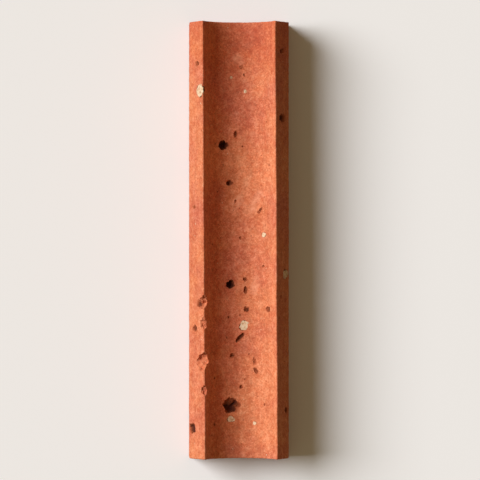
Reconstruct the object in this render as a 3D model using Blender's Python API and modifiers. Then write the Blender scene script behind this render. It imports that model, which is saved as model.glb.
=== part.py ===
"""A facing brick of red fired clay, with a half-round groove along its face.

The brick lies on its back with its face up. X runs across the brick, Y along its length and
Z out of the wall. The origin is the centre of the back, where the brick is bedded.
"""

import math

import bmesh
import bpy

# Outer size
BRICK_LENGTH = 0.240
BRICK_WIDTH = 0.055
BRICK_DEPTH = 0.035

# The sides are square to the back up to this height. The flat bricks of the wall are as deep.
SIDE_HEIGHT = 0.020

# The groove, as a chord across the face and a depth below the arrises
GROOVE_WIDTH = 0.0385
GROOVE_DEPTH = 0.016

# Flat land left on the crest of each arris, between the raking flank and the groove
LAND_WIDTH = 0.0010

# Sawn edges, worn just round
EDGE_WEAR = 0.0003
EDGE_SEGMENTS = 2
SHARP_ANGLE = math.radians(30)

GROOVE_FACETS = 36
WELD_DISTANCE = 0.00001
FLAT_ANGLE = math.radians(0.1)

CLAY_COLOUR = (0.56, 0.19, 0.08, 1.0)
CLAY_ROUGHNESS = 0.85


def clear_scene():
    for old in list(bpy.data.objects):
        bpy.data.objects.remove(old, do_unlink=True)


def fired_clay():
    """Unglazed red clay, sawn after firing: matt, with no sheen."""
    material = bpy.data.materials.new("fired_clay")
    material.use_nodes = True
    shader = material.node_tree.nodes["Principled BSDF"]
    shader.inputs["Base Color"].default_value = CLAY_COLOUR
    shader.inputs["Roughness"].default_value = CLAY_ROUGHNESS
    shader.inputs["Metallic"].default_value = 0.0
    return material


def groove_radius():
    """The radius of the arc with the groove's width as its chord and the groove's depth as its rise."""
    half = GROOVE_WIDTH / 2
    return (half**2 + GROOVE_DEPTH**2) / (2 * GROOVE_DEPTH)


def groove_arc():
    """Points down one wall of the groove and up the other, from left to right."""
    radius = groove_radius()
    centre_height = BRICK_DEPTH - GROOVE_DEPTH + radius
    reach = math.atan2(GROOVE_WIDTH / 2, radius - GROOVE_DEPTH)
    points = []
    for step in range(GROOVE_FACETS + 1):
        angle = reach * (2 * step / GROOVE_FACETS - 1)
        points.append((radius * math.sin(angle), centre_height - radius * math.cos(angle)))
    return points


def section_outline():
    """The brick's section, seen from its foot end: X across it, and the height above the back."""
    side = BRICK_WIDTH / 2
    crest = GROOVE_WIDTH / 2 + LAND_WIDTH
    left = [(-side, 0.0), (-side, SIDE_HEIGHT), (-crest, BRICK_DEPTH)]
    right = [(-x, z) for x, z in reversed(left)]
    return left + groove_arc() + right


def extruded_curve(name, outline, length):
    """A filled outline in the XZ plane, drawn out evenly to both sides of it along Y."""
    curve = bpy.data.curves.new(name, "CURVE")
    curve.dimensions = "2D"
    curve.fill_mode = "BOTH"
    curve.extrude = length / 2
    spline = curve.splines.new("POLY")
    spline.points.add(len(outline) - 1)
    for point, (x, z) in zip(spline.points, outline):
        point.co = (x, z, 0.0, 1.0)
    spline.use_cyclic_u = True
    extruded = bpy.data.objects.new(name, curve)
    extruded.rotation_euler = (math.radians(90), 0.0, 0.0)
    bpy.context.scene.collection.objects.link(extruded)
    return extruded


def closed_mesh(name, curve_object, collection):
    """The curve's shape as one closed mesh, with a single face on each end."""
    bpy.context.view_layer.update()
    evaluated = curve_object.evaluated_get(bpy.context.evaluated_depsgraph_get())
    mesh = bpy.data.meshes.new_from_object(evaluated)
    mesh.name = name
    solid = bpy.data.objects.new(name, mesh)
    solid.matrix_world = curve_object.matrix_world
    collection.objects.link(solid)
    bpy.data.objects.remove(curve_object)

    shape = bmesh.new()
    shape.from_mesh(mesh)
    bmesh.ops.remove_doubles(shape, verts=shape.verts[:], dist=WELD_DISTANCE)
    bmesh.ops.dissolve_limit(
        shape, angle_limit=FLAT_ANGLE, verts=shape.verts[:], edges=shape.edges[:]
    )
    bmesh.ops.recalc_face_normals(shape, faces=shape.faces[:])
    shape.to_mesh(mesh)
    shape.free()
    return solid


def wear_edges(solid):
    bevel = solid.modifiers.new("worn_edges", "BEVEL")
    bevel.width = EDGE_WEAR
    bevel.segments = EDGE_SEGMENTS
    bevel.limit_method = "ANGLE"
    bevel.angle_limit = SHARP_ANGLE
    bevel.use_clamp_overlap = True


def build_brick(collection):
    body = extruded_curve("brick_section", section_outline(), BRICK_LENGTH)
    brick = closed_mesh("fluted_brick", body, collection)
    brick.data.materials.clear()
    brick.data.materials.append(fired_clay())
    brick.data.shade_smooth()
    brick.data.set_sharp_from_angle(angle=SHARP_ANGLE)
    wear_edges(brick)
    return brick


def main():
    clear_scene()
    collection = bpy.data.collections.new("fluted_brick")
    bpy.context.scene.collection.children.link(collection)
    build_brick(collection)


main()
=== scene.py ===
"""The looks of a facing brick: red fired clay, with a half-round groove along its face.

The brick lies on its back on a pale floor, and the camera looks down on its face. Lengths are
in metres, X runs across the brick, Y along it, and Z up out of its face. The brick keeps the
section of the frame's solid, and adds what fired clay shows close to: worn and chipped edges,
burst pits, small pores, grains of lime, pale smears, the drag of the cutter along the face, and
the sweep of the saw over the back, the sides and the ends.
"""

import math
import random

import bmesh
import bpy
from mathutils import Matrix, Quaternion, Vector


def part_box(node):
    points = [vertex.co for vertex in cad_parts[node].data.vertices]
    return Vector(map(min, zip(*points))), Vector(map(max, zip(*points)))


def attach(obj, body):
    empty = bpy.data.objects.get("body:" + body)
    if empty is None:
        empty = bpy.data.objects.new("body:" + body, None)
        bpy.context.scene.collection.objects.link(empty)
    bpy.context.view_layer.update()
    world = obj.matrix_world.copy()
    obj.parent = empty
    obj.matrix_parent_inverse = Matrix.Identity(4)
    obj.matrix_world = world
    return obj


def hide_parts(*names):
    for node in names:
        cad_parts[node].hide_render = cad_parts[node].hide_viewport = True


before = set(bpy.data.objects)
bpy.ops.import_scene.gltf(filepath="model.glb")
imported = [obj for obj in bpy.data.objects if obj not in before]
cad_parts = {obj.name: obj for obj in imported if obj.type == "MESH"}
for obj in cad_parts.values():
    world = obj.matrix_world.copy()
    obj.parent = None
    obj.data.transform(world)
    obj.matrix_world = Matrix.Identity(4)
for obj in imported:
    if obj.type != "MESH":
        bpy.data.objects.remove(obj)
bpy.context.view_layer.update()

MM = 0.001
MATH = "ShaderNodeMath"
VECTOR_MATH = "ShaderNodeVectorMath"
SPLIT_VECTOR = "ShaderNodeSeparateXYZ"
NOISE = "ShaderNodeTexNoise"
MAP_RANGE = "ShaderNodeMapRange"
MIX = "ShaderNodeMix"
ATTRIBUTE = "ShaderNodeAttribute"
POSITION = "GeometryNodeInputPosition"
NORMAL = "GeometryNodeInputNormal"
SET_POSITION = "GeometryNodeSetPosition"
STORE = "GeometryNodeStoreNamedAttribute"
STORED = "GeometryNodeInputNamedAttribute"
RANDOM = "FunctionNodeRandomValue"

# The sawn section, with the same sizes as the solid that the frame holds
NODE = "fluted_brick"
LOW_CORNER, HIGH_CORNER = (Vector(corner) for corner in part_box(NODE))
WIDTH, LENGTH, DEPTH = HIGH_CORNER - LOW_CORNER
SIDE_HEIGHT = 20.0 * MM
GROOVE_WIDTH = 38.5 * MM
GROOVE_DEPTH = 16.0 * MM
LAND_WIDTH = 1.0 * MM
GROOVE_RADIUS = (GROOVE_WIDTH**2 / 4 + GROOVE_DEPTH**2) / (2 * GROOVE_DEPTH)
GROOVE_CENTRE_HEIGHT = DEPTH - GROOVE_DEPTH + GROOVE_RADIUS
GROOVE_REACH = math.atan2(GROOVE_WIDTH / 2, GROOVE_RADIUS - GROOVE_DEPTH)
FLANK_RUN = WIDTH / 2 - GROOVE_WIDTH / 2 - LAND_WIDTH
FLANK_RISE = DEPTH - SIDE_HEIGHT
CREST_X = (GROOVE_WIDTH + LAND_WIDTH) / 2

# The brick in the photograph: its centre and its length in pixels, and so the size of a pixel
BRICK_CENTRE_PX = (207.5, 234.75)
BRICK_LENGTH_PX = 95.5
PIXEL = LENGTH / BRICK_LENGTH_PX

# The middle of the saw's sweep, well off the brick, and the step between its marks
SAW_CENTRE = (0.31, -0.19, 0.12)
SAW_STEP = 3.2 * MM

# A surface counts as sawn where it looks sideways or down: it starts to at the first of these
# heights of its normal, and does fully at the second
SAWN_FROM = 0.15
SAWN_FULLY = 0.05

# The way that the cutter dragged the clay across the face, turned from the brick's length
DRAG_TURN = math.radians(32)


def linear(code):
    """An sRGB hex colour as Blender's linear one."""
    channels = [int(code[i:i + 2], 16) / 255 for i in (1, 3, 5)]
    return tuple(c / 12.92 if c <= 0.04045 else ((c + 0.055) / 1.055) ** 2.4 for c in channels) + (1.0,)


def add(tree, kind, inputs=None, stops=(), **settings):
    """Add a node with its settings. An input is a value, a socket, or a node whose first output it
    takes, and a colour ramp takes its stops as places and hex colours."""
    made = tree.nodes.new(kind)
    for name, value in settings.items():
        setattr(made, name, value)
    for key, value in (inputs or {}).items():
        if isinstance(key, int):
            socket = made.inputs[key]
        else:
            socket = next(s for s in made.inputs if s.name == key and s.enabled)
        if isinstance(value, bpy.types.Node):
            value = next(s for s in value.outputs if s.enabled)
        if isinstance(value, bpy.types.NodeSocket):
            tree.links.new(value, socket)
        else:
            socket.default_value = value
    for index, (place, code) in enumerate(stops):
        band = made.color_ramp.elements
        stop = band[index] if index < len(band) else band.new(place)
        stop.position = place
        stop.color = linear(code)
    return made


# The input that a geometry node group has for each kind of size
SOCKETS = {int: "NodeSocketInt", float: "NodeSocketFloat", bpy.types.Object: "NodeSocketObject"}


def new_shape_tree(name, sizes):
    """A geometry node group with one named input for each size."""
    tree = bpy.data.node_groups.new(name, "GeometryNodeTree")
    face = tree.interface
    face.new_socket("Geometry", in_out="INPUT", socket_type="NodeSocketGeometry")
    for label, value in sizes.items():
        face.new_socket(label, in_out="INPUT", socket_type=SOCKETS[type(value)])
    face.new_socket("Material", in_out="INPUT", socket_type="NodeSocketMaterial")
    face.new_socket("Geometry", in_out="OUTPUT", socket_type="NodeSocketGeometry")
    return tree, tree.nodes.new("NodeGroupInput").outputs


def end_shape_tree(tree, geometry, material):
    """Close a group: its instances made real, shaded smooth, with one material."""
    real = add(tree, "GeometryNodeRealizeInstances", {"Geometry": geometry})
    smooth = add(tree, "GeometryNodeSetShadeSmooth", {"Geometry": real})
    dressed = add(tree, "GeometryNodeSetMaterial", {"Geometry": smooth, "Material": material})
    add(tree, "NodeGroupOutput", {"Geometry": dressed})


def grow(name, tree, sizes, material=None, mesh=None):
    """Run a geometry node group, and keep what it makes as a plain mesh."""
    holder = bpy.data.objects.new(name, mesh or bpy.data.meshes.new(name))
    bpy.context.scene.collection.objects.link(holder)
    modifier = holder.modifiers.new(name, "NODES")
    modifier.node_group = tree
    values = dict(sizes, Material=material)
    for item in tree.interface.items_tree:
        if item.in_out == "INPUT" and item.name in values:
            modifier[item.identifier] = values[item.name]
    return settle(holder)


def settle(holder):
    """Replace an object's mesh with what its modifiers make of it, and remove them."""
    bpy.context.view_layer.update()
    evaluated = holder.evaluated_get(bpy.context.evaluated_depsgraph_get())
    mesh = bpy.data.meshes.new_from_object(evaluated)
    mesh.name = holder.name
    holder.modifiers.clear()
    holder.data = mesh
    return holder


def new_material(name):
    """A material, its node tree and its shader."""
    material = bpy.data.materials.new(name)
    material.use_nodes = True
    return material, material.node_tree, material.node_tree.nodes["Principled BSDF"]


# Nearly all of a noise's values lie in this span
NOISE_SPAN = {"From Min": 0.3, "From Max": 0.7}

# The clay's tones from rosy to orange, and the tones of a hollow from its mouth to its bottom:
# redder clay at the mouth, then painted shade that deepens to nearly black
CLAY_TONES = ((0.30, "#CE7052"), (0.46, "#D67A55"), (0.58, "#DC8358"), (0.74, "#E28D60"))
HOLLOW_SHADE_TONES = ((0.0, "#D67B55"), (0.22, "#BE6239"), (0.55, "#86401F"), (1.0, "#561C0B"))
HOLLOW_DEEPEST = 2.4 * MM
HOLLOW_UNEVEN = 0.4

# How deep a hollow is where its own tones have taken over, and where its grit stands highest
HOLLOW_RIM = 0.15 * MM
HOLLOW_ROUGHEST = 0.3 * MM

# How wide the clay's patterns are, each from one of its kind to the next
BLOTCH_WIDTH = 28 * MM
MOTTLE_WIDTH = 4 * MM
PATCH_WIDTH = 2.6 * MM
GRIT_WIDTH = 1.1 * MM
SCRATCH_WIDTH = 0.9 * MM

# Real grains of sand are finer than a pixel, so they are drawn as coarse as this
SAND_GRAIN = 0.7 * MM

# The height of the grit and the scratches
CLAY_RELIEF = 0.35 * MM

# Smears in the clay's tone that the cutter's drag drew out
DRAG_SMEAR_WIDTH = 4 * MM
DRAG_SMEAR_LENGTH = 25 * MM

# The redder upper end: how far it reaches, how uneven its edge is, and how much redder it is
FLASH_LENGTH = 34 * MM
FLASH_UNEVEN = 20 * MM
FLASH_REDNESS = 0.13

# Specks lie one to a cell: a fifth of the cells hold a pale one, and a quarter an iron-dark one
SPECK_CELL = 3.0 * MM
SPECK_RADIUS = 0.33 * MM
PALE_SHARE = 0.2
IRON_SHARE = 0.25
PALE_SPECK = "#F0DABC"
IRON_SPECK = "#6E2E1A"

PALE_SMEAR = "#F2AA86"
BURST_RING_TONE = "#B45C48"
BURST_RING_STRENGTH = 0.35


def clay_body(tree, place, mottle):
    """The clay's own colour: uneven in its mixing and firing, and redder where it is darker."""
    # Blotches, and a finer mottle in them
    blotch = add(tree, NOISE, {"Vector": place, "Scale": 1 / BLOTCH_WIDTH, "Detail": 3.0, "Roughness": 0.6})
    colour = add(tree, "ShaderNodeValToRGB", {"Fac": blotch}, stops=CLAY_TONES)
    tone = add(tree, MAP_RANGE, {"Value": mottle, **NOISE_SPAN, "To Min": 0.9, "To Max": 1.1})

    # The cutter's drag across the face
    along_drag = add(tree, "ShaderNodeMapping", {
        "Vector": place, "Rotation": (0.0, 0.0, DRAG_TURN),
        "Scale": (1.0, DRAG_SMEAR_WIDTH / DRAG_SMEAR_LENGTH, 1.0),
    })
    smear = add(tree, NOISE, {
        "Vector": along_drag, "Scale": 1 / DRAG_SMEAR_WIDTH, "Detail": 3.0, "Roughness": 0.6,
    })
    smear = add(tree, MAP_RANGE, {"Value": smear, **NOISE_SPAN, "To Min": 0.94, "To Max": 1.06})
    tone = add(tree, MATH, {0: tone, 1: smear}, operation="MULTIPLY")

    # Sand
    sand = add(tree, "ShaderNodeTexVoronoi", {"Vector": place, "Scale": 1 / SAND_GRAIN})
    sand = add(tree, "ShaderNodeSeparateColor", {"Color": sand.outputs["Color"]})
    sand = add(tree, MAP_RANGE, {"Value": sand.outputs["Red"], "To Min": 0.9, "To Max": 1.1})
    tone = add(tree, MATH, {0: tone, 1: sand}, operation="MULTIPLY")

    # Darker clay is redder, and small patches are redder or yellower anyway
    redness = add(tree, MAP_RANGE, {
        "Value": tone, "From Min": 0.8, "From Max": 1.2, "To Min": 1.2, "To Max": 0.8,
    })
    patch = add(tree, NOISE, {"Vector": place, "Scale": 1 / PATCH_WIDTH, "Detail": 2.0, "Roughness": 0.6})
    patch = add(tree, MAP_RANGE, {"Value": patch, **NOISE_SPAN, "To Min": -0.12, "To Max": 0.12})
    redness = add(tree, MATH, {0: redness, 1: patch}, operation="ADD")

    # The upper end is redder too, from an edge that the blotches make uneven
    along = add(tree, SPLIT_VECTOR, {0: place}).outputs["Y"]
    along = add(tree, MATH, {0: blotch, 1: FLASH_UNEVEN, 2: along}, operation="MULTIPLY_ADD")
    flash_start = LENGTH / 2 - FLASH_LENGTH + FLASH_UNEVEN / 2
    flash = add(tree, MAP_RANGE, {
        "Value": along, "From Min": flash_start, "From Max": flash_start + FLASH_LENGTH / 2,
        "To Max": FLASH_REDNESS,
    }, interpolation_type="SMOOTHSTEP")
    redness = add(tree, MATH, {0: redness, 1: flash}, operation="ADD")
    colour = add(tree, "ShaderNodeGamma", {"Color": colour, "Gamma": redness})
    return add(tree, VECTOR_MATH, {0: colour, "Scale": tone}, operation="SCALE")


def specked(tree, place, colour):
    """The colour with specks in it: pale ones of lime or quartz, and dark ones of iron."""
    cell = add(tree, "ShaderNodeTexVoronoi", {"Vector": place, "Scale": 1 / SPECK_CELL})
    chance = add(tree, "ShaderNodeSeparateColor", {"Color": cell.outputs["Color"]})
    reach = add(tree, MATH, {
        0: chance.outputs["Green"], 1: SPECK_RADIUS / SPECK_CELL,
    }, operation="MULTIPLY")
    speck = add(tree, MATH, {0: cell.outputs["Distance"], 1: reach}, operation="LESS_THAN")
    for limit, side, speck_tone in (
        (1 - PALE_SHARE, "GREATER_THAN", PALE_SPECK),
        (IRON_SHARE, "LESS_THAN", IRON_SPECK),
    ):
        held = add(tree, MATH, {0: chance.outputs["Red"], 1: limit}, operation=side)
        held = add(tree, MATH, {0: held, 1: speck}, operation="MULTIPLY")
        colour = add(tree, MIX, {"Factor": held, "A": colour, "B": linear(speck_tone)}, data_type="RGBA")
    return colour


def marked(tree, mottle, depth, colour):
    """The colour with the marks in it: pale smears, rubbed thin in places, a rosier ring round each
    burst, and hollows that are redder at the mouth and darken with painted shade to nearly black at the
    bottom."""
    smeared = add(tree, ATTRIBUTE, attribute_name="smeared").outputs["Fac"]
    rubbed = add(tree, MAP_RANGE, {
        "Value": mottle, "From Min": 0.42, "From Max": 0.6, "To Min": 0.2, "To Max": 0.9,
    })
    smeared = add(tree, MATH, {0: smeared, 1: rubbed}, operation="MULTIPLY")
    colour = add(tree, MIX, {"Factor": smeared, "A": colour, "B": linear(PALE_SMEAR)}, data_type="RGBA")

    near = add(tree, ATTRIBUTE, attribute_name="near_burst").outputs["Fac"]
    near = add(tree, MATH, {0: near, 1: BURST_RING_STRENGTH}, operation="MULTIPLY")
    colour = add(tree, MIX, {"Factor": near, "A": colour, "B": linear(BURST_RING_TONE)}, data_type="RGBA")

    # Painted shade: the deeper a point lies under the skin, the darker its colour, a little unevenly, to
    # nearly black at the bottom of a hollow
    uneven = add(tree, MAP_RANGE, {
        "Value": mottle,
        "To Min": (1 - HOLLOW_UNEVEN) / HOLLOW_DEEPEST, "To Max": (1 + HOLLOW_UNEVEN) / HOLLOW_DEEPEST,
    })
    hollow_shade_share = add(tree, MATH, {0: depth, 1: uneven}, operation="MULTIPLY", use_clamp=True)
    hollow_shade_colour = add(tree, "ShaderNodeValToRGB", {"Fac": hollow_shade_share}, stops=HOLLOW_SHADE_TONES)
    inside = add(tree, MAP_RANGE, {"Value": depth, "From Max": HOLLOW_RIM})
    return add(tree, MIX, {"Factor": inside, "A": colour, "B": hollow_shade_colour}, data_type="RGBA")


def clay_relief(tree, place, depth):
    """Grit that stands up from the clay everywhere, higher in the hollows, and the scratches that
    the saw left between its deeper marks."""
    grit = add(tree, NOISE, {"Vector": place, "Scale": 1 / GRIT_WIDTH, "Detail": 4.0, "Roughness": 0.75})
    rougher = add(tree, MAP_RANGE, {
        "Value": depth, "From Max": HOLLOW_ROUGHEST, "To Min": 1.0, "To Max": 2.2,
    })
    grit = add(tree, MATH, {0: grit, 1: rougher}, operation="MULTIPLY")
    reach = add(tree, VECTOR_MATH, {0: place, 1: SAW_CENTRE}, operation="DISTANCE").outputs["Value"]
    scratch = add(tree, NOISE, {
        "W": reach, "Scale": 1 / SCRATCH_WIDTH, "Detail": 2.0,
    }, noise_dimensions="1D")
    sawn = add(tree, ATTRIBUTE, attribute_name="sawn").outputs["Fac"]
    scratch = add(tree, MATH, {0: scratch, 1: sawn, 2: grit}, operation="MULTIPLY_ADD")
    return add(tree, "ShaderNodeBump", {"Height": scratch, "Distance": CLAY_RELIEF})


def fired_clay():
    """Red facing clay, fired and then cut: matt and sandy, mottled from rose to orange, with pale
    and iron-dark specks. Its hollows darken with depth in painted shade, and the sawn faces show the saw."""
    material, tree, shader = new_material("red_fired_clay")
    place = add(tree, "ShaderNodeTexCoord").outputs["Object"]
    mottle = add(tree, NOISE, {"Vector": place, "Scale": 1 / MOTTLE_WIDTH, "Detail": 5.0, "Roughness": 0.7})
    depth = add(tree, ATTRIBUTE, attribute_name="hollow").outputs["Fac"]

    colour = clay_body(tree, place, mottle)
    colour = specked(tree, place, colour)
    colour = marked(tree, mottle, depth, colour)
    tree.links.new(colour.outputs[2], shader.inputs["Base Color"])

    gloss = add(tree, MAP_RANGE, {"Value": mottle, **NOISE_SPAN, "To Min": 0.84, "To Max": 0.96})
    tree.links.new(gloss.outputs[0], shader.inputs["Roughness"])
    shader.inputs["Diffuse Roughness"].default_value = 0.6
    tree.links.new(clay_relief(tree, place, depth).outputs[0], shader.inputs["Normal"])
    return material


# Lime's tones from rust to chalk, the width of its patches, and the height of its roughness
LIME_TONES = ((0.34, "#B5835C"), (0.44, "#DAB590"), (0.56, "#EACFAE"), (0.70, "#F2E2C9"))
CHALK_WIDTH = 1.6 * MM
LIME_RELIEF = 0.3 * MM


def burnt_lime():
    """Lime and quartz grains in the clay, burnt in the kiln: chalky cream, with rust at the edges."""
    material, tree, shader = new_material("burnt_lime")
    place = add(tree, "ShaderNodeTexCoord").outputs["Object"]
    chalk = add(tree, NOISE, {"Vector": place, "Scale": 1 / CHALK_WIDTH, "Detail": 4.0, "Roughness": 0.75})
    colour = add(tree, "ShaderNodeValToRGB", {"Fac": chalk}, stops=LIME_TONES)
    tree.links.new(colour.outputs[0], shader.inputs["Base Color"])
    gloss = add(tree, MAP_RANGE, {"Value": chalk, "To Min": 0.95, "To Max": 0.7})
    tree.links.new(gloss.outputs[0], shader.inputs["Roughness"])
    relief = add(tree, "ShaderNodeBump", {"Height": chalk, "Distance": LIME_RELIEF})
    tree.links.new(relief.outputs[0], shader.inputs["Normal"])
    return material


# The brick's grid: columns from the groove's middle to one side, rows along it, courses up its sides
GROOVE_COLUMNS = 44
LAND_COLUMNS = 2
FLANK_COLUMNS = 24
HALF_COLUMNS = GROOVE_COLUMNS + LAND_COLUMNS + FLANK_COLUMNS
ROWS = 321
COURSES = 23
MIDDLE_ROW = (ROWS - 1) / 2

# The row pitch is what the rows' spacing grows to, away from the ends. Edge wear is a number of
# rounds of smoothing, and the relief lift brings the relief's higher places up to the solid's face.
BRICK_SIZES = {
    "Length": LENGTH,
    "Width": WIDTH,
    "Groove radius": GROOVE_RADIUS,
    "Groove centre height": GROOVE_CENTRE_HEIGHT,
    "Groove reach": GROOVE_REACH,
    "Land width": LAND_WIDTH,
    "Flank run": FLANK_RUN,
    "Flank rise": FLANK_RISE,
    "Groove columns": GROOVE_COLUMNS,
    "Land columns": LAND_COLUMNS,
    "Flank columns": FLANK_COLUMNS,
    "Columns": 2 * HALF_COLUMNS + 1,
    "Rows": ROWS,
    "Courses": COURSES,
    "Row pitch": LENGTH / 2 * (MIDDLE_ROW + 1) / MIDDLE_ROW**2,
    "Arris wander": 0.5 * MM,
    "Groove lean": 1.2 * MM,
    "Crest wear": 0.35 * MM,
    "Crest sharpness": 40.0,
    "Edge wear": 4,
    "Drag depth": 0.10 * MM,
    "Sand depth": 0.28 * MM,
    "Warp depth": 0.18 * MM,
    "Saw step": SAW_STEP,
    "Saw depth": 0.10 * MM,
    "Relief lift": 0.22 * MM,
}

# How wide the unevenness of the brick's shape is, from one high place to the next
WARP_WIDTH = 70 * MM
WANDER_WIDTH = 60 * MM
EDGE_WEAR_WIDTH = 9 * MM
CREST_WEAR_WIDTH = 7 * MM
DRAG_WIDTH = 2.8 * MM
SAND_WIDTH = 2.4 * MM

# The cutter's drag: its turn from the brick's length, and its marks' width as a share of their length
DRAG_MARKS = ((0.0, 0.04), (DRAG_TURN, 0.12))

# Each arris lies this far off in the noise that wears it, to its own side, so the two wear unlike
ARRIS_OFFSET = 3.0


def rows_along(tree, size, share):
    """Each point's place along the brick. Rows lie closer together towards the ends, which are worn."""
    end = add(tree, MATH, {0: share["Y"]}, operation="SIGN")
    along = add(tree, MATH, {0: share["Y"]}, operation="ABSOLUTE")
    inward = add(tree, MATH, {0: 0.5, 1: along}, operation="SUBTRACT")
    last_row = add(tree, MATH, {0: size["Rows"], 1: 1.0}, operation="SUBTRACT")
    row = add(tree, MATH, {0: inward, 1: last_row}, operation="MULTIPLY")
    row_squared = add(tree, MATH, {0: row, 1: row}, operation="MULTIPLY")
    row_next = add(tree, MATH, {0: row, 1: 1.0}, operation="ADD")
    eased_row = add(tree, MATH, {0: row_squared, 1: row_next}, operation="DIVIDE")
    from_end = add(tree, MATH, {0: eased_row, 1: size["Row pitch"]}, operation="MULTIPLY")
    half_length = add(tree, MATH, {0: size["Length"], 1: 0.5}, operation="MULTIPLY")
    along_brick = add(tree, MATH, {0: half_length, 1: from_end}, operation="SUBTRACT")
    return add(tree, MATH, {0: along_brick, 1: end}, operation="MULTIPLY")


def columns_across(tree, size, share):
    """How far each column has gone up the groove, over the land and down the flank, from 0 to 1.
    Each of the three takes its own share of the columns."""
    across = add(tree, MATH, {0: share["X"]}, operation="ABSOLUTE")
    last_column = add(tree, MATH, {0: size["Columns"], 1: 1.0}, operation="SUBTRACT")
    column = add(tree, MATH, {0: across, 1: last_column}, operation="MULTIPLY")
    in_groove = add(tree, MATH, {0: column, 1: size["Groove columns"]}, operation="DIVIDE", use_clamp=True)
    past_groove = add(tree, MATH, {0: column, 1: size["Groove columns"]}, operation="SUBTRACT")
    on_land = add(tree, MATH, {0: past_groove, 1: size["Land columns"]}, operation="DIVIDE", use_clamp=True)
    past_land = add(tree, MATH, {0: past_groove, 1: size["Land columns"]}, operation="SUBTRACT")
    on_flank = add(tree, MATH, {0: past_land, 1: size["Flank columns"]}, operation="DIVIDE", use_clamp=True)
    return in_groove, on_land, on_flank


def face_section(tree, size, in_groove, on_land, on_flank):
    """Half of the face's section: the place out from the groove's middle, and the height."""
    turn = add(tree, MATH, {0: in_groove, 1: size["Groove reach"]}, operation="MULTIPLY")
    sine = add(tree, MATH, {0: turn}, operation="SINE")
    cosine = add(tree, MATH, {0: turn}, operation="COSINE")
    groove_x = add(tree, MATH, {0: sine, 1: size["Groove radius"]}, operation="MULTIPLY")
    groove_drop = add(tree, MATH, {0: cosine, 1: size["Groove radius"]}, operation="MULTIPLY")
    groove_z = add(tree, MATH, {0: size["Groove centre height"], 1: groove_drop}, operation="SUBTRACT")
    land_x = add(tree, MATH, {0: on_land, 1: size["Land width"], 2: groove_x}, operation="MULTIPLY_ADD")
    face_x = add(tree, MATH, {0: on_flank, 1: size["Flank run"], 2: land_x}, operation="MULTIPLY_ADD")
    flank_drop = add(tree, MATH, {0: on_flank, 1: size["Flank rise"]}, operation="MULTIPLY")
    return face_x, add(tree, MATH, {0: groove_z, 1: flank_drop}, operation="SUBTRACT")


def worn_face(tree, size, share, y):
    """The face as this brick has it: the groove leans a little to the right at the foot, the arrises
    wander, and wear lowers them."""
    hand = add(tree, MATH, {0: share["X"]}, operation="SIGN")
    in_groove, on_land, on_flank = columns_across(tree, size, share)
    face_x, face_z = face_section(tree, size, in_groove, on_land, on_flank)

    run_place = add(tree, "ShaderNodeCombineXYZ", {"X": hand, "Y": y})
    run_place = add(tree, VECTOR_MATH, {0: run_place, 1: (ARRIS_OFFSET, 1.0, 1.0)}, operation="MULTIPLY")
    wander = add(tree, NOISE, {"Vector": run_place, "Scale": 1 / WANDER_WIDTH, "Detail": 2.0})
    wander = add(tree, MAP_RANGE, {"Value": wander, "To Min": -1.0, "To Max": 1.0})
    shift = add(tree, MATH, {0: wander, 1: size["Arris wander"]}, operation="MULTIPLY")
    slant = add(tree, MATH, {0: y, 1: size["Length"]}, operation="DIVIDE")
    lean = add(tree, MATH, {0: slant, 1: size["Groove lean"]}, operation="MULTIPLY")
    shift = add(tree, MATH, {0: shift, 1: lean}, operation="SUBTRACT")
    off_flank = add(tree, MATH, {0: 1.0, 1: on_flank}, operation="SUBTRACT")
    shift = add(tree, MATH, {0: shift, 1: off_flank}, operation="MULTIPLY")
    handed_x = add(tree, MATH, {0: face_x, 1: hand, 2: shift}, operation="MULTIPLY_ADD")

    chipping = add(tree, NOISE, {
        "Vector": run_place, "Scale": 1 / CREST_WEAR_WIDTH, "Detail": 4.0, "Roughness": 0.7,
    })
    chipping = add(tree, MAP_RANGE, {"Value": chipping, "From Min": 0.4, "From Max": 0.8})
    crest = add(tree, MATH, {0: in_groove, 1: off_flank}, operation="MULTIPLY")
    crest = add(tree, MATH, {0: crest, 1: size["Crest sharpness"]}, operation="POWER")
    crest_drop = add(tree, MATH, {0: chipping, 1: crest}, operation="MULTIPLY")
    crest_drop = add(tree, MATH, {0: crest_drop, 1: size["Crest wear"]}, operation="MULTIPLY")
    return handed_x, add(tree, MATH, {0: face_z, 1: crest_drop}, operation="SUBTRACT")


def saw_marks(tree, size, spot, normal):
    """The saw's marks on what looks sideways or down, deeper in some sweeps than in others."""
    facing = add(tree, SPLIT_VECTOR, {0: normal}).outputs["Z"]
    sawn = add(tree, MAP_RANGE, {"Value": facing, "From Min": SAWN_FROM, "From Max": SAWN_FULLY})
    reach = add(tree, VECTOR_MATH, {0: spot, 1: SAW_CENTRE}, operation="DISTANCE").outputs["Value"]
    sweep = add(tree, MATH, {0: reach, 1: size["Saw step"]}, operation="DIVIDE")
    swing = add(tree, MATH, {0: sweep, 1: 2 * math.pi}, operation="MULTIPLY")
    swing = add(tree, MATH, {0: swing}, operation="SINE")
    force = add(tree, NOISE, {"W": sweep, "Scale": 0.6, "Detail": 2.0}, noise_dimensions="1D")
    swing = add(tree, MATH, {0: swing, 1: force}, operation="MULTIPLY")
    swing = add(tree, MATH, {0: swing, 1: sawn}, operation="MULTIPLY")
    return add(tree, MATH, {0: swing, 1: 1.0}, operation="ADD")


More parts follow.
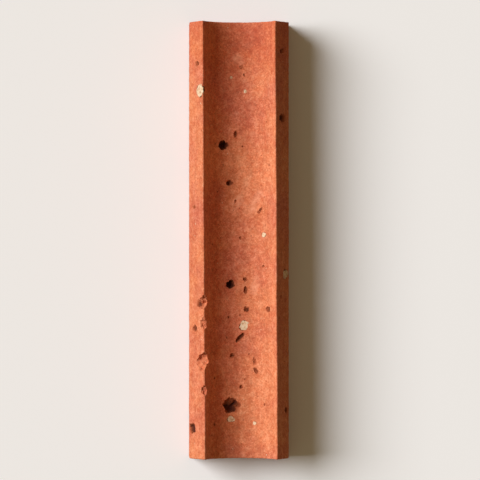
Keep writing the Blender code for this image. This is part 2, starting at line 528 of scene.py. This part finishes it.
def skin_relief(tree, size):
    """What the skin's relief moves each point by: warp from drying, the cutter's drag along and
    across the face, sand, and the saw's marks."""
    spot = add(tree, POSITION)
    normal = add(tree, NORMAL)
    warp = add(tree, NOISE, {"Vector": spot, "Scale": 1 / WARP_WIDTH, "Detail": 1.0})
    depth = add(tree, MATH, {0: warp, 1: size["Warp depth"]}, operation="MULTIPLY")
    for drag_turn, slimness in DRAG_MARKS:
        along_drag = add(tree, "ShaderNodeVectorRotate", {
            "Vector": spot, "Angle": drag_turn,
        }, rotation_type="Z_AXIS")
        drawn_out = add(tree, VECTOR_MATH, {0: along_drag, 1: (1.0, slimness, 1.0)}, operation="MULTIPLY")
        drag = add(tree, NOISE, {"Vector": drawn_out, "Scale": 1 / DRAG_WIDTH, "Detail": 3.0})
        depth = add(tree, MATH, {0: drag, 1: size["Drag depth"], 2: depth}, operation="MULTIPLY_ADD")
    sand = add(tree, NOISE, {"Vector": spot, "Scale": 1 / SAND_WIDTH, "Detail": 3.0, "Roughness": 0.7})
    depth = add(tree, MATH, {0: sand, 1: size["Sand depth"], 2: depth}, operation="MULTIPLY_ADD")
    swing = saw_marks(tree, size, spot, normal)
    depth = add(tree, MATH, {0: swing, 1: size["Saw depth"], 2: depth}, operation="MULTIPLY_ADD")
    rise = add(tree, MATH, {0: size["Relief lift"], 1: depth}, operation="SUBTRACT")
    return add(tree, VECTOR_MATH, {0: normal, "Scale": rise}, operation="SCALE")


def brick_tree():
    """A grid on a cube, drawn out to the brick's section, worn at its edges and then roughened."""
    tree, size = new_shape_tree("sawn_brick", BRICK_SIZES)
    grid = add(tree, "GeometryNodeMeshCube", {
        "Size": (1.0, 1.0, 1.0), "Vertices X": size["Columns"],
        "Vertices Y": size["Rows"], "Vertices Z": size["Courses"],
    })
    share = add(tree, SPLIT_VECTOR, {0: add(tree, POSITION)}).outputs
    y = rows_along(tree, size, share)
    handed_x, worn_z = worn_face(tree, size, share, y)

    # Up the brick: from the flat back to the face
    up = add(tree, MATH, {0: share["Z"], 1: 0.5}, operation="ADD")
    back_x = add(tree, MATH, {0: share["X"], 1: size["Width"]}, operation="MULTIPLY")
    x = add(tree, MIX, {"Factor": up, "A": back_x, "B": handed_x})
    z = add(tree, MATH, {0: worn_z, 1: up}, operation="MULTIPLY")
    drawn = add(tree, SET_POSITION, {
        "Geometry": grid.outputs["Mesh"],
        "Position": add(tree, "ShaderNodeCombineXYZ", {"X": x, "Y": y, "Z": z}),
    })

    # Each edge is smoothed round, more in some places than in others
    here = add(tree, POSITION)
    wear = add(tree, NOISE, {"Vector": here, "Scale": 1 / EDGE_WEAR_WIDTH, "Detail": 3.0})
    wear = add(tree, MAP_RANGE, {
        "Value": wear, "From Min": 0.35, "From Max": 0.65, "To Min": 0.25, "To Max": 1.0,
    })
    rounded = add(tree, "GeometryNodeBlurAttribute", {
        "Value": here, "Iterations": size["Edge wear"], "Weight": wear,
    }, data_type="FLOAT_VECTOR")
    worn = add(tree, SET_POSITION, {"Geometry": drawn, "Position": rounded})

    roughened = add(tree, SET_POSITION, {
        "Geometry": worn, "Offset": skin_relief(tree, size),
    })
    end_shape_tree(tree, roughened, size["Material"])
    return tree


# The floor's colour, the colour of the light that it throws on the brick, and how far it goes from
# the brick's middle, each way
FLOOR_COLOUR = "#F8F8FA"
FLOOR_BOUNCE = "#85583E"
FLOOR_REACH = 3.0


def floor_paint():
    """Pale matt paint. The light that it throws on the brick is dimmer and browner than it looks, so
    that the brick's shaded sides stay dark and warm."""
    material, tree, shader = new_material("pale_floor_paint")
    shader.inputs["Roughness"].default_value = 0.9
    shader.inputs["Specular IOR Level"].default_value = 0.0
    path = add(tree, "ShaderNodeLightPath").outputs
    seen = add(tree, MATH, {0: path["Is Camera Ray"], 1: path["Is Glossy Ray"]}, operation="MAXIMUM")
    seen = add(tree, MATH, {0: seen, 1: path["Is Transmission Ray"]}, operation="MAXIMUM")
    paint = add(tree, MIX, {
        "Factor": seen, "A": linear(FLOOR_BOUNCE), "B": linear(FLOOR_COLOUR),
    }, data_type="RGBA")
    tree.links.new(paint.outputs[2], shader.inputs["Base Color"])
    return material


def build_floor():
    """A plain floor, level with the brick's back."""
    mesh = bpy.data.meshes.new("floor")
    shape = bmesh.new()
    bmesh.ops.create_grid(shape, x_segments=1, y_segments=1, size=FLOOR_REACH)
    shape.to_mesh(mesh)
    shape.free()
    floor = bpy.data.objects.new("floor", mesh)
    bpy.context.scene.collection.objects.link(floor)
    mesh.materials.append(floor_paint())


# One soft key light from the left and a little from above, and a faint fill from all round
KEY_TILT = math.radians(51)
KEY_BEARING = math.radians(18)
KEY_SPREAD = math.radians(38)
KEY_STRENGTH = 3.55
FILL_STRENGTH = 0.18
FILL_TINT = "#FFE2AC"


def build_lights():
    """The key, tilted from upright and turned towards the brick's upper end, and the fill."""
    sun = bpy.data.lights.new("soft_key", "SUN")
    sun.energy = KEY_STRENGTH
    sun.angle = KEY_SPREAD
    key = bpy.data.objects.new("soft_key", sun)
    from_key = Vector((
        -math.cos(KEY_BEARING) * math.sin(KEY_TILT),
        math.sin(KEY_BEARING) * math.sin(KEY_TILT),
        math.cos(KEY_TILT),
    ))
    key.location = from_key
    key.rotation_euler = from_key.to_track_quat("Z", "Y").to_euler()
    bpy.context.scene.collection.objects.link(key)

    world = bpy.data.worlds.new("soft_fill")
    world.use_nodes = True
    background = world.node_tree.nodes["Background"]
    background.inputs["Color"].default_value = linear(FILL_TINT)
    background.inputs["Strength"].default_value = FILL_STRENGTH
    bpy.context.scene.world = world


# The photograph was taken from about two metres, a little to the left of the brick and below it.
# The view is a little taller than the brick.
CAMERA_PLACE = Vector((-0.056, -0.013, 2.05))
VIEW_HEIGHT = 1.09 * LENGTH


def build_camera():
    """The photograph's view: straight down on the face, with the brick's length upright."""
    lens = bpy.data.cameras.new("camera")
    distance = CAMERA_PLACE.z - DEPTH
    lens.angle = 2 * math.atan(VIEW_HEIGHT / 2 / distance)
    camera = bpy.data.objects.new("camera", lens)
    camera.location = CAMERA_PLACE
    camera.rotation_euler = (
        math.atan(-CAMERA_PLACE.y / distance), math.atan(CAMERA_PLACE.x / distance), 0.0,
    )
    bpy.context.scene.collection.objects.link(camera)
    bpy.context.scene.camera = camera


# Marks read from the photograph. Each is where it lies, in pixels across and down, its
# width and length in pixels, its turn in degrees from the brick's length, and its depth in mm.
# Bursts and pocks are cut together, and so are both kinds of chips. Marks that are cut together
# stay apart from each other, and so do the grains, because a cut by balls that cross can fail.
BURSTS = {
    "upper_burst": (204.0, 214.2, 2.1, 2.2, 0, 3.2),
    "middle_burst": (205.4, 244.4, 2.0, 2.0, 0, 3.4),
    "lower_burst": (205.7, 270.7, 3.3, 3.3, 10, 2.5),
    # The burst at the left foot is a pit cut deep and steep so that it stays dark: part of that darkness
    # stands in for shade that falls along the brick's foot edge
    "left_foot_burst_and_shade": (196.9, 275.6, 1.6, 2.5, 0, 3.4),
}
POCKS = {
    "upper_pock": (205.2, 222.4, 1.7, 1.4, 0, 2.1),
    "pock_by_upper_burst": (206.6, 211.8, 0.9, 1.5, 0, 1.4),
    "slanting_tear": (207.5, 255.9, 1.0, 2.8, -45, 1.8),
    "upright_tear": (208.7, 245.6, 0.9, 1.8, 5, 1.4),
    "tear_above": (208.6, 243.3, 1.0, 1.0, 0, 1.3),
    "scoop_below_tear": (208.9, 249.8, 1.5, 1.4, -30, 1.6),
    "right_pock": (213.5, 249.8, 1.1, 1.4, 0, 1.7),
    "faint_right_pock": (212.5, 240.5, 0.7, 0.8, 0, 0.9),
    "scoop_by_slanting_tear": (205.8, 259.8, 1.3, 1.1, 20, 1.3),
    "faint_lower_pock": (207.8, 266.6, 0.8, 0.9, 0, 1.1),
    "hook_top": (210.6, 261.0, 0.8, 2.1, 4, 1.1),
    "hook_foot": (210.9, 263.1, 0.9, 1.7, 35, 1.5),
    "slanting_scratch": (211.8, 228.4, 0.7, 2.2, -38, 1.0),
    "top_scoop": (207.8, 197.2, 0.9, 1.3, 0, 0.6),
    "right_flank_pock": (216.8, 208.2, 1.4, 2.2, 0, 2.6),
    "right_flank_foot_pock": (217.6, 271.6, 0.8, 1.4, 0, 1.7),
    "right_flank_top_pock": (216.8, 193.7, 1.0, 1.4, 0, 1.8),
    "left_flank_top_pock": (198.2, 196.5, 0.9, 1.1, 0, 1.4),
    "left_flank_middle_pock": (197.5, 227.6, 0.7, 0.9, 0, 1.0),
    "left_flank_low_pock": (197.6, 253.9, 1.0, 1.6, 0, 1.9),
    "upper_chip_pock": (198.6, 248.6, 1.1, 2.1, -30, 2.4),
    "lower_chip_pock": (199.1, 267.6, 0.8, 1.2, 0, 1.8),
}
# Chips of the left arris: bites straight down from its crest, and spalls that left the flank
ARRIS_BITES = {
    "upper_chip": (199.6, 248.2, 2.6, 3.0, -25, 5.0),
    "lower_chip": (199.8, 267.4, 2.0, 2.1, 0, 3.9),
}
ARRIS_SPALLS = {
    "small_chip": (199.4, 253.0, 1.2, 2.6, 0, 3.8),
    "middle_chip": (199.1, 261.1, 2.0, 3.9, 20, 5.0),
}
LIME_GRAINS = {
    "right_grain": (212.6, 233.6, 0.9, 1.2, 0, 1.2),
    "middle_grain": (208.3, 253.3, 2.3, 1.8, 60, 1.5),
    "lower_grain": (210.6, 274.5, 0.8, 0.9, 0, 1.0),
    "grain_under_burst": (205.6, 273.6, 1.7, 1.3, 0, 1.2),
    "left_arris_grain": (198.8, 202.3, 1.4, 2.8, 0, 1.6),
    "right_flank_grain": (217.5, 242.2, 1.3, 2.1, 0, 1.2),
    "upper_small_grain": (208.6, 202.5, 0.6, 0.8, 0, 0.9),
    "upper_left_small_grain": (205.6, 199.5, 0.6, 0.6, 0, 0.9),
}
# Pale smears of clay that the cutter left in the groove: both ends of each, across and down
PALE_SMEARS = {
    "upper_smear": (206.5, 195.1, 207.6, 196.0),
    "middle_left_smear": (206.0, 227.4, 207.5, 226.0),
    "middle_right_smear": (209.9, 228.2, 211.6, 224.8),
    "lower_smear": (210.4, 245.8, 211.1, 243.4),
}

# A grain's seat is larger than the grain
SEAT_GROWTH = 1.07

# How far under the face the middle of a mark's ball lies, as a share of the ball's own depth. A mark
# deeper than half its width has steep walls, and the ball of a shallower one lies mostly outside.
STEEP_BURY = 0.15
SHALLOW_BURY = -0.4


def face_point(x):
    """The height of the face at a place across it, and the way that the face looks there."""
    hand = math.copysign(1.0, x)
    if abs(x) < GROOVE_WIDTH / 2:
        drop = math.sqrt(GROOVE_RADIUS**2 - x**2)
        return GROOVE_CENTRE_HEIGHT - drop, Vector((-x, 0.0, drop)).normalized()
    from_crest = abs(x) - GROOVE_WIDTH / 2 - LAND_WIDTH
    if from_crest < 0:
        return DEPTH, Vector((0.0, 0.0, 1.0))
    height = DEPTH - FLANK_RISE * from_crest / FLANK_RUN
    return height, Vector((hand * FLANK_RISE, 0.0, FLANK_RUN)).normalized()


def under_pixel(across_px, down_px, height):
    """The point at a height above the back that a pixel of the photograph shows."""
    x = (across_px - BRICK_CENTRE_PX[0]) * PIXEL
    y = (BRICK_CENTRE_PX[1] - down_px) * PIXEL
    at_crest = Vector((x, y, DEPTH))
    return CAMERA_PLACE.lerp(at_crest, (CAMERA_PLACE.z - height) / (CAMERA_PLACE.z - DEPTH))


def on_face(across_px, down_px):
    """The point of the face that a pixel of the photograph shows, and the way that the face looks."""
    height = face_point((across_px - BRICK_CENTRE_PX[0]) * PIXEL)[0]
    place = under_pixel(across_px, down_px, height)
    place.z, outward = face_point(place.x)
    return place, outward


def turned(degrees):
    """A turn about the upright axis."""
    return Quaternion((0.0, 0.0, 1.0), math.radians(degrees))


def marked_hollow(across_px, down_px, wide, long, turn, depth):
    """The ball that cuts a mark in the face: its place, its half sizes and its turn."""
    place, outward = on_face(across_px, down_px)
    tilt = Quaternion((0.0, 1.0, 0.0), math.atan2(outward.x, outward.z))
    half_width = wide * PIXEL / 2 / outward.z
    bury = STEEP_BURY if depth * MM > half_width else SHALLOW_BURY
    # The mouth is narrower than the ball, so the ball is grown to keep the mouth's size
    growth = 1 / math.sqrt(1 - bury**2)
    deep = depth * MM / (1 + bury)
    half_sizes = Vector((half_width * growth, long * PIXEL / 2 * growth, deep))
    return place - outward * bury * deep, half_sizes, tilt @ turned(turn)


def arris_bite(across_px, down_px, wide, long, turn, depth):
    """The upright ball that bites a chip out of an arris, with its middle level with the crest."""
    half_sizes = Vector((wide * PIXEL / 2, long * PIXEL / 2, depth * MM))
    return under_pixel(across_px, down_px, DEPTH), half_sizes, turned(turn)


def smear_lines(name):
    """Each pale smear as one edge that lies on the face."""
    places = []
    for smear in PALE_SMEARS.values():
        for end in (smear[:2], smear[2:]):
            places.append(on_face(*end)[0])
    mesh = bpy.data.meshes.new(name)
    mesh.from_pydata(places, [(i, i + 1) for i in range(0, len(places), 2)], [])
    return mesh


# Nicks along the edges: how far apart on the whole, and the width of the largest
ARRIS_NICK_SPACING = 13 * MM
ARRIS_NICK_LARGEST = 2.2 * MM
EDGE_NICK_SPACING = 16 * MM
EDGE_NICK_LARGEST = 3.4 * MM
SHOULDER_NICK_LARGEST = 0.6 * EDGE_NICK_LARGEST
END_NICK_LARGEST = 0.7 * EDGE_NICK_LARGEST

# The smallest nick as a share of the largest, its length as a share of its width, its turn in
# degrees, the step to the next as a share of the spacing, and the lift of its ball's middle off
# the edge as a share of its width
NICK_SMALLEST = 0.3
NICK_LENGTHS = (0.8, 2.0)
NICK_TURNS = (-25, 25)
NICK_STEPS = (0.4, 1.6)
NICK_LIFT = 0.32

# Nicks bite towards a line inside the brick
CORE_HALF_LENGTH = LENGTH / 2 - 15 * MM
CORE_HEIGHT = 15 * MM

# Where an end's outline crosses the face, as shares of the brick's half width
END_OUTLINE = (-0.72, -0.45, 0.0, 0.45, 0.72)

# Strewn marks stay this many times their own reach away from other marks
CLEARANCE = 1.3


def edge_nicks(rng, start, end, spacing, largest):
    """Small bites along an edge, at uneven steps, by balls that lie mostly outside the clay."""
    along = end - start
    reach = spacing * rng.random()
    while reach < along.length:
        width = largest * (NICK_SMALLEST + (1 - NICK_SMALLEST) * rng.random()**3)
        place = start + along * (reach / along.length)
        core = Vector((0.0, max(-CORE_HALF_LENGTH, min(CORE_HALF_LENGTH, place.y)), CORE_HEIGHT))
        outward = (place - core).normalized()
        half_sizes = Vector((width, width * rng.uniform(*NICK_LENGTHS), width)) / 2
        yield place + outward * NICK_LIFT * width, half_sizes, turned(rng.uniform(*NICK_TURNS))
        reach += spacing * rng.uniform(*NICK_STEPS)


def all_nicks(rng):
    """Nicks along both arrises, the shoulders, the foot edges and the outline of each end."""
    for hand in (-1, 1):
        for x, z, spacing, largest in (
            (CREST_X, DEPTH, ARRIS_NICK_SPACING, ARRIS_NICK_LARGEST),
            (WIDTH / 2, SIDE_HEIGHT, EDGE_NICK_SPACING, SHOULDER_NICK_LARGEST),
            (WIDTH / 2, 0.0, EDGE_NICK_SPACING, EDGE_NICK_LARGEST),
        ):
            run = Vector((0.0, LENGTH / 2, 0.0))
            edge = Vector((hand * x, 0.0, z))
            yield from edge_nicks(rng, edge - run, edge + run, spacing, largest)
    for end in (-1, 1):
        corners = [(-1.0, 0.0), (-1.0, SIDE_HEIGHT)]
        corners += [(x, face_point(x * WIDTH / 2)[0]) for x in END_OUTLINE]
        corners += [(1.0, SIDE_HEIGHT), (1.0, 0.0)]
        outline = [Vector((x * WIDTH / 2, end * LENGTH / 2, z)) for x, z in corners]
        for start, finish in zip(outline, outline[1:] + outline[:1]):
            yield from edge_nicks(rng, start, finish, EDGE_NICK_SPACING, END_NICK_LARGEST)


def kept_clear(balls, marks):
    """The balls that stay clear of the marks and of each other, so that no two cut the same clay."""
    kept = []
    for place, half_sizes, lie in balls:
        reach = max(half_sizes)
        others = marks + kept
        if all((place - other).length > CLEARANCE * (reach + max(sizes)) for other, sizes, _ in others):
            kept.append((place, half_sizes, lie))
    return kept


def points_mesh(name, balls):
    """Loose points that carry each ball's half sizes and its turn."""
    places, half_sizes, lies = zip(*balls)
    mesh = bpy.data.meshes.new(name)
    mesh.from_pydata(places, [], [])
    scale = mesh.attributes.new("half_sizes", "FLOAT_VECTOR", "POINT")
    scale.data.foreach_set("vector", [side for half_size in half_sizes for side in half_size])
    turn = mesh.attributes.new("turn", "QUATERNION", "POINT")
    turn.data.foreach_set("value", [part for lie in lies for part in lie])
    return mesh


# The balls that cut: how finely each is divided, and the width and height of the lumps on it, as
# shares of its smaller half size
HOLLOW_SIZES = {"Roundness": 4, "Lump share": 0.7, "Lump height": 0.7}
CHIP_SIZES = {"Roundness": 4, "Lump share": 0.6, "Lump height": 0.8}
NICK_SIZES = {"Roundness": 3, "Lump share": 0.8, "Lump height": 0.5}
STONE_SIZES = {"Roundness": 4, "Lump share": 1.0, "Lump height": 0.6}
PORE_LUMP_SIZES = {"Roundness": 2, "Lump share": 0.9, "Lump height": 0.8}


def lump_tree():
    """A lumpy ball at each point, as big as the point says."""
    tree, size = new_shape_tree("lumps", HOLLOW_SIZES)
    half_sizes = add(tree, STORED, {"Name": "half_sizes"}, data_type="FLOAT_VECTOR")
    turn = add(tree, STORED, {"Name": "turn"}, data_type="QUATERNION")
    ball = add(tree, "GeometryNodeMeshIcoSphere", {"Radius": 1.0, "Subdivisions": size["Roundness"]})
    balls = add(tree, "GeometryNodeInstanceOnPoints", {
        "Points": size["Geometry"], "Instance": ball, "Rotation": turn, "Scale": half_sizes,
    })
    real = add(tree, "GeometryNodeRealizeInstances", {"Geometry": balls})
    girth = add(tree, SPLIT_VECTOR, {0: half_sizes})
    width = add(tree, MATH, {0: girth.outputs["X"], 1: girth.outputs["Y"]}, operation="MINIMUM")
    lump_width = add(tree, MATH, {0: width, 1: size["Lump share"]}, operation="MULTIPLY")
    frequency = add(tree, MATH, {0: 1.0, 1: lump_width}, operation="DIVIDE")
    lump = add(tree, NOISE, {
        "Vector": add(tree, POSITION), "Scale": frequency, "Detail": 3.0, "Roughness": 0.6,
    })
    height = add(tree, MAP_RANGE, {"Value": lump, "To Min": -1.0, "To Max": 1.0})
    height = add(tree, MATH, {0: height, 1: size["Lump height"]}, operation="MULTIPLY")
    height = add(tree, MATH, {0: height, 1: width}, operation="MULTIPLY")
    swell = add(tree, VECTOR_MATH, {0: add(tree, NORMAL), "Scale": height}, operation="SCALE")
    lumpy = add(tree, SET_POSITION, {"Geometry": real, "Offset": swell})
    end_shape_tree(tree, lumpy, size["Material"])
    return tree


# Pores: the least distance between two, the most to a square metre, their half widths, and the
# most that they are longer than wide and turned from the brick's length, in radians
PORE_SIZES = {
    "Apart": 5.0 * MM,
    "Density": 9000.0,
    "Smallest": 0.28 * MM,
    "Largest on face": 0.8 * MM,
    "Largest elsewhere": 1.4 * MM,
    "Longest": 1.7,
    "Most turned": 0.6,
    "Seed": 3,
    "Width seed": 11,
    "Length seed": 12,
    "Turn seed": 13,
}


def pore_points_tree():
    """Points strewn over the brick's skin, each with the size of the pore there. Most are small."""
    tree, size = new_shape_tree("pore_points", PORE_SIZES)
    points = add(tree, "GeometryNodeDistributePointsOnFaces", {
        "Mesh": size["Geometry"], "Distance Min": size["Apart"], "Density Max": size["Density"],
        "Seed": size["Seed"],
    }, distribute_method="POISSON")
    facing = add(tree, SPLIT_VECTOR, {0: points.outputs["Normal"]}).outputs["Z"]
    on_face_side = add(tree, MATH, {0: facing, 1: SAWN_FROM}, operation="GREATER_THAN")
    largest = add(tree, MIX, {
        "Factor": on_face_side, "A": size["Largest elsewhere"], "B": size["Largest on face"],
    })
    chance = add(tree, RANDOM, {"Seed": size["Width seed"]})
    rare = add(tree, MATH, {0: chance.outputs[1], 1: 3.0}, operation="POWER")
    radius = add(tree, MAP_RANGE, {"Value": rare, "To Min": size["Smallest"], "To Max": largest})
    longer = add(tree, RANDOM, {
        "Min": 1.0, "Max": size["Longest"], "Seed": size["Length seed"],
    })
    length = add(tree, MATH, {0: radius, 1: longer.outputs[1]}, operation="MULTIPLY")
    shape = add(tree, "ShaderNodeCombineXYZ", {"X": radius, "Y": length, "Z": radius})
    sized = add(tree, STORE, {
        "Geometry": points, "Name": "half_sizes", "Value": shape,
    }, data_type="FLOAT_VECTOR")
    least_turn = add(tree, MATH, {0: 0.0, 1: size["Most turned"]}, operation="SUBTRACT")
    lean = add(tree, RANDOM, {
        "Min": least_turn, "Max": size["Most turned"], "Seed": size["Turn seed"],
    })
    lie = add(tree, "FunctionNodeEulerToRotation", {
        "Euler": add(tree, "ShaderNodeCombineXYZ", {"Z": lean.outputs[1]}),
    })
    lying = add(tree, STORE, {"Geometry": sized, "Name": "turn", "Value": lie}, data_type="QUATERNION")
    loose = add(tree, "GeometryNodePointsToVertices", {"Points": lying})
    end_shape_tree(tree, loose, size["Material"])
    return tree


def lumpy(name, balls, lumps, sizes, clay):
    """Lumpy balls as one shape, to cut with."""
    return grow(name, lumps, sizes, clay, points_mesh(name, balls))


def strewn_pores(skin, marks):
    """Pores over the skin that stay clear of the marks."""
    strewn = grow("strewn_pores", pore_points_tree(), PORE_SIZES, mesh=skin.data.copy())
    half_sizes = strewn.data.attributes["half_sizes"].data
    turns = strewn.data.attributes["turn"].data
    pores = [
        (point.co.copy(), half_size.vector.copy(), Quaternion(turn.value))
        for point, half_size, turn in zip(strewn.data.vertices, half_sizes, turns)
    ]
    bpy.data.objects.remove(strewn)
    return kept_clear(pores, marks)


def skin_marks_tree(sizes):
    """How far each point lies under the uncut skin, how near to a burst or a smear, and if it was
    sawn. The clay's colour and its scratches follow these."""
    tree, size = new_shape_tree("skin_marks", sizes)
    skin = add(tree, "GeometryNodeObjectInfo", {"Object": size["Skin"]}).outputs["Geometry"]
    under_skin = add(tree, "GeometryNodeProximity", {"Geometry": skin}, target_element="FACES")
    values = {"hollow": under_skin.outputs["Distance"]}
    for name, places, part, ring in (
        ("near_burst", "Burst places", "POINTS", "Burst ring"),
        ("smeared", "Smear lines", "EDGES", "Smear reach"),
    ):
        marks = add(tree, "GeometryNodeObjectInfo", {"Object": size[places]}).outputs["Geometry"]
        away = add(tree, "GeometryNodeProximity", {"Geometry": marks}, target_element=part)
        values[name] = add(tree, MAP_RANGE, {
            "Value": away.outputs["Distance"], "From Min": size[ring], "From Max": 0.0,
        }, interpolation_type="SMOOTHSTEP")
    look = add(tree, "GeometryNodeSampleNearestSurface", {
        "Mesh": skin, "Value": add(tree, NORMAL),
    }, data_type="FLOAT_VECTOR")
    facing = add(tree, SPLIT_VECTOR, {0: look}).outputs["Z"]
    values["sawn"] = add(tree, MAP_RANGE, {
        "Value": facing, "From Min": SAWN_FROM, "From Max": SAWN_FULLY,
    })
    carrier = size["Geometry"]
    for name, value in values.items():
        carrier = add(tree, STORE, {"Geometry": carrier, "Name": name, "Value": value}).outputs[0]
    end_shape_tree(tree, carrier, size["Material"])
    return tree


# Edges shorter than this are slivers that a cut left
SLIVER = 0.001 * MM


def drop_slivers(mesh):
    """Close up the few faces of no area that a cut leaves."""
    shape = bmesh.new()
    shape.from_mesh(mesh)
    bmesh.ops.dissolve_degenerate(shape, dist=SLIVER, edges=shape.edges[:])
    shape.to_mesh(mesh)
    shape.free()


def cut(shape, operation, *cutters):
    """Cut a closed shape by others. The slivers that this leaves would spoil the next cut."""
    for cutter in cutters:
        cut_by = shape.modifiers.new(cutter.name, "BOOLEAN")
        cut_by.object = cutter
        cut_by.operation = operation
        cut_by.solver = "EXACT"
    settle(shape)
    drop_slivers(shape.data)
    for cutter in cutters:
        bpy.data.objects.remove(cutter)


def copy_of(shape, name):
    """A second object, with a mesh of its own."""
    twin = bpy.data.objects.new(name, shape.data.copy())
    bpy.context.scene.collection.objects.link(twin)
    return twin


# The back is flat, so most of its faces can go: the share of the whole brick's faces that stays,
# how high the back's points reach, and how strongly the thinning keeps to them
KEPT_SHARE = 0.62
BACK_HEIGHT = 0.5 * MM
BACK_STRENGTH = 1000.0


def thin_back(brick):
    """Take away most of the back's faces, and leave the rest of the brick as it is."""
    back = brick.vertex_groups.new(name="back")
    back.add([v.index for v in brick.data.vertices if v.co.z < BACK_HEIGHT], 1.0, "ADD")
    thinner = brick.modifiers.new("thin_back", "DECIMATE")
    thinner.ratio = KEPT_SHARE
    thinner.vertex_group = back.name
    thinner.vertex_group_factor = BACK_STRENGTH
    settle(brick)
    brick.vertex_groups.clear()


NICK_SEED = 5
BURST_RING = 6.0 * MM
SMEAR_REACH = 3.6 * MM
SHARP_EDGE = math.radians(50)


def grown(balls, growth):
    """The same balls, larger."""
    return [(place, half_sizes * growth, lie) for place, half_sizes, lie in balls]


def carry_marks(brick, chipped, bursts, clay):
    """Store what the clay's colour needs on the brick's own points."""
    burst_places = bpy.data.objects.new("burst_places", points_mesh("burst_places", bursts))
    smear_places = bpy.data.objects.new("smear_places", smear_lines("smear_places"))
    sizes = {
        "Skin": chipped, "Burst places": burst_places, "Burst ring": BURST_RING,
        "Smear lines": smear_places, "Smear reach": SMEAR_REACH,
    }
    carrier = grow("marked_brick", skin_marks_tree(sizes), sizes, clay, brick.data)
    brick.data = carrier.data
    for helper in (carrier, burst_places, smear_places):
        bpy.data.objects.remove(helper)


def build_brick_and_grains():
    """The brick, chipped first and then pitted, and the grains of lime that the cutter laid bare.
    The grains are cut from the same skin as the brick, so they lie level with it in their seats."""
    clay = fired_clay()
    lumps = lump_tree()
    skin = grow("brick_skin", brick_tree(), BRICK_SIZES, clay)
    thin_back(skin)

    bursts = [marked_hollow(*mark) for mark in BURSTS.values()]
    hollows = bursts + [marked_hollow(*mark) for mark in POCKS.values()]
    chips = [arris_bite(*mark) for mark in ARRIS_BITES.values()]
    chips += [marked_hollow(*mark) for mark in ARRIS_SPALLS.values()]
    stones = [marked_hollow(*mark) for mark in LIME_GRAINS.values()]
    seats = grown(stones, SEAT_GROWTH)
    nicks = kept_clear(all_nicks(random.Random(NICK_SEED)), hollows + chips + stones)
    pores = strewn_pores(skin, hollows + chips + stones + nicks)

    grains = copy_of(skin, "lime_grains")
    cut(grains, "INTERSECT", lumpy("stones", stones, lumps, STONE_SIZES, clay))

    brick = copy_of(skin, "clay_brick")
    cut(
        brick, "DIFFERENCE",
        lumpy("chips", chips, lumps, CHIP_SIZES, clay),
        lumpy("nicks", nicks, lumps, NICK_SIZES, clay),
    )
    chipped = copy_of(brick, "chipped_brick")
    cut(
        brick, "DIFFERENCE",
        lumpy("hollows", hollows, lumps, HOLLOW_SIZES, clay),
        lumpy("seats", seats, lumps, STONE_SIZES, clay),
    )
    cut(brick, "DIFFERENCE", lumpy("pores", pores, lumps, PORE_LUMP_SIZES, clay))
    if len(brick.data.polygons) < len(skin.data.polygons):
        raise RuntimeError("A cut took the brick away: look for marks that cross, or try another seed")

    carry_marks(brick, chipped, bursts, clay)
    for helper in (skin, chipped):
        bpy.data.objects.remove(helper)

    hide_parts(NODE)
    for piece, material in ((brick, clay), (grains, burnt_lime())):
        piece.data.materials.clear()
        piece.data.materials.append(material)
        piece.data.set_sharp_from_angle(angle=SHARP_EDGE)
        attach(piece, "root")


bpy.context.scene.view_settings.view_transform = "Standard"
build_floor()
build_lights()
build_camera()
build_brick_and_grains()
